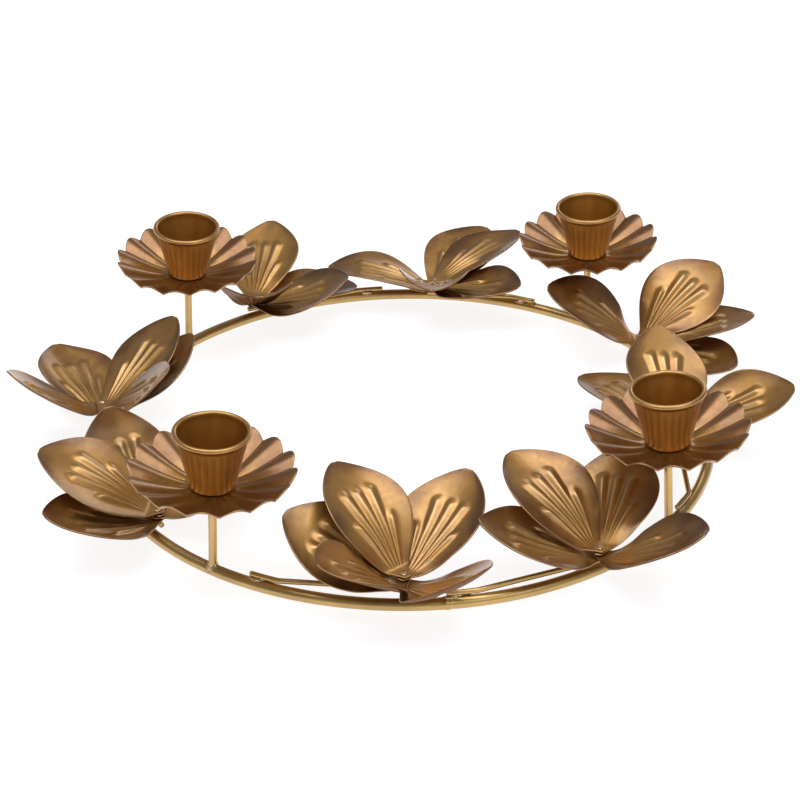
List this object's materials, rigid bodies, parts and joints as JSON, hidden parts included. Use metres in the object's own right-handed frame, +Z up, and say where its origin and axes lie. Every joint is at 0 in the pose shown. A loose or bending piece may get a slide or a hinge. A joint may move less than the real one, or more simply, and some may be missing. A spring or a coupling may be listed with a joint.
{
  "type": "candle holder",
  "caption": "Table candle ring: a round wire hoop with tapered candle cups on fluted drip pans, and flowers of ribbed sheet-metal petals between them.",
  "frame": {"origin": "under the middle of the bounding box, on the plane that the hoop rests on", "axes": "+Z up along the candles, +X to the right and -Y towards the viewer in the pictured view"},
  "size_m": [0.2986, 0.2978, 0.0599],
  "materials": {
    "hoop_gold": "satin antique gold lacquer on steel rod",
    "cup_gold": "satin brown-gold lacquer on spun steel sheet",
    "pan_bronze": "satin bronze lacquer on pressed steel sheet",
    "petal_bronze": "satin gold lacquer that shades to copper brown at the edges"
  },
  "bodies": {
    "root": {"ring_hoop": "hoop_gold", "stem_1": "hoop_gold", "drip_pan_1": "pan_bronze", "candle_cup_1": "cup_gold", "stem_2": "hoop_gold", "drip_pan_2": "pan_bronze", "candle_cup_2": "cup_gold", "stem_3": "hoop_gold", "drip_pan_3": "pan_bronze", "candle_cup_3": "cup_gold", "stem_4": "hoop_gold", "drip_pan_4": "pan_bronze", "candle_cup_4": "cup_gold", "flower_wire_1": "hoop_gold", "flower_1_petal_1": "petal_bronze", "flower_1_petal_2": "petal_bronze", "flower_1_petal_3": "petal_bronze", "flower_1_petal_4": "petal_bronze", "flower_1_petal_5": "petal_bronze", "flower_wire_2": "hoop_gold", "flower_2_petal_1": "petal_bronze", "flower_2_petal_2": "petal_bronze", "flower_2_petal_3": "petal_bronze", "flower_2_petal_4": "petal_bronze", "flower_wire_3": "hoop_gold", "flower_3_petal_1": "petal_bronze", "flower_3_petal_2": "petal_bronze", "flower_3_petal_3": "petal_bronze", "flower_3_petal_4": "petal_bronze", "flower_wire_4": "hoop_gold", "flower_4_petal_1": "petal_bronze", "flower_4_petal_2": "petal_bronze", "flower_4_petal_3": "petal_bronze", "flower_4_petal_4": "petal_bronze", "flower_wire_5": "hoop_gold", "flower_5_petal_1": "petal_bronze", "flower_5_petal_2": "petal_bronze", "flower_5_petal_3": "petal_bronze", "flower_5_petal_4": "petal_bronze", "flower_5_petal_5": "petal_bronze", "flower_wire_6": "hoop_gold", "flower_6_petal_1": "petal_bronze", "flower_6_petal_2": "petal_bronze", "flower_6_petal_3": "petal_bronze", "flower_6_petal_4": "petal_bronze", "flower_wire_7": "hoop_gold", "flower_7_petal_1": "petal_bronze", "flower_7_petal_2": "petal_bronze", "flower_7_petal_3": "petal_bronze", "flower_7_petal_4": "petal_bronze", "flower_7_petal_5": "petal_bronze", "flower_wire_8": "hoop_gold", "flower_8_petal_1": "petal_bronze", "flower_8_petal_2": "petal_bronze", "flower_8_petal_3": "petal_bronze", "flower_8_petal_4": "petal_bronze"}
  },
  "joints": []
}
